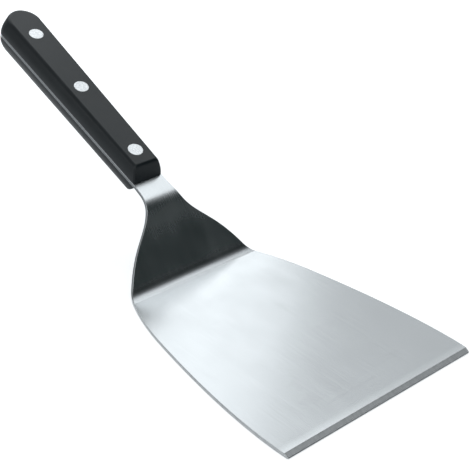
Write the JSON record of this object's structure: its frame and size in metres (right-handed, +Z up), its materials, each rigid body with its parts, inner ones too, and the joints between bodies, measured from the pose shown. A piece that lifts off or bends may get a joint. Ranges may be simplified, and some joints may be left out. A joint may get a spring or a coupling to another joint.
{
  "type": "grill spatula",
  "caption": "Grill spatula: broad bevel-edged sheet blade on a cranked neck, with a full tang held between riveted black handle scales.",
  "frame": {"origin": "centre of the blade's flat underside, on the surface the blade rests on", "axes": "+Z up, square to the blade; +Y along the tool from the leading edge to the butt of the handle; X across the blade, the tool's plane of symmetry being x = 0"},
  "size_m": [0.12, 0.311, 0.1049],
  "materials": {
    "brushed_stainless": "satin, brushed along the tool on the blade and neck",
    "black_pom": "moulded satin black with softly polished edges",
    "rivet_stainless": "ground flush, fine satin"
  },
  "bodies": {
    "root": {"turner_blade": "brushed_stainless", "upper_scale": "black_pom", "lower_scale": "black_pom", "front_rivet_male": "rivet_stainless", "front_rivet_female": "rivet_stainless", "middle_rivet_male": "rivet_stainless", "middle_rivet_female": "rivet_stainless", "butt_rivet_male": "rivet_stainless", "butt_rivet_female": "rivet_stainless"}
  },
  "joints": []
}
